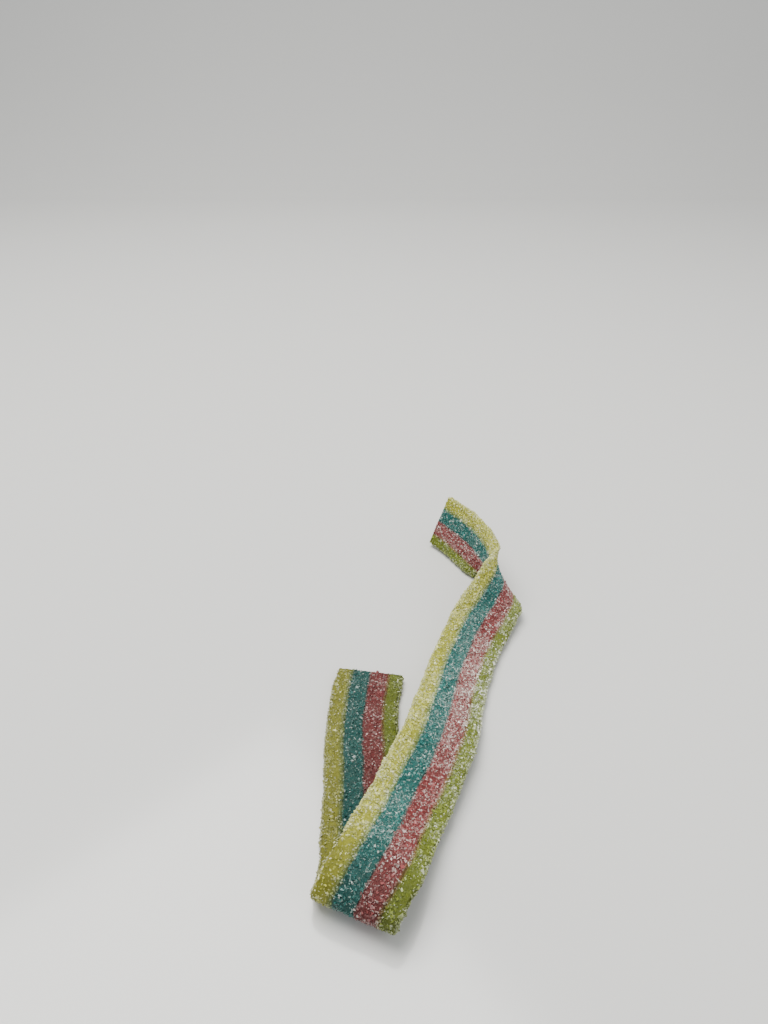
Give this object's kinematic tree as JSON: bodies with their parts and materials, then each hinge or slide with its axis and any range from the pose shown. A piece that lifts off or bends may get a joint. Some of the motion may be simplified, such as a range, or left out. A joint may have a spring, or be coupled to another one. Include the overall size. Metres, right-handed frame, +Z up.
{
  "type": "sour belt",
  "caption": "Sugar-coated sour belt sweet of four fused coloured strands, lying loosely folded with one end leaning on its edge.",
  "frame": {"origin": "middle of the folded belt's outline in plan, on the surface it lies on", "axes": "+Y along the belt's longest extent, from the front fold to the leaning end; +Z up from the surface; +X to the right, seen from the front fold"},
  "size_m": [0.0566, 0.146, 0.0182],
  "materials": {
    "yellow_gummy": "soft yellow gummy under sour sugar",
    "blue_gummy": "soft blue-green gummy under sour sugar",
    "red_gummy": "soft red gummy under sour sugar",
    "green_gummy": "soft green gummy under sour sugar"
  },
  "bodies": {
    "root": {"strand_yellow": "yellow_gummy", "strand_blue": "blue_gummy", "strand_red": "red_gummy", "strand_green": "green_gummy"}
  },
  "joints": []
}
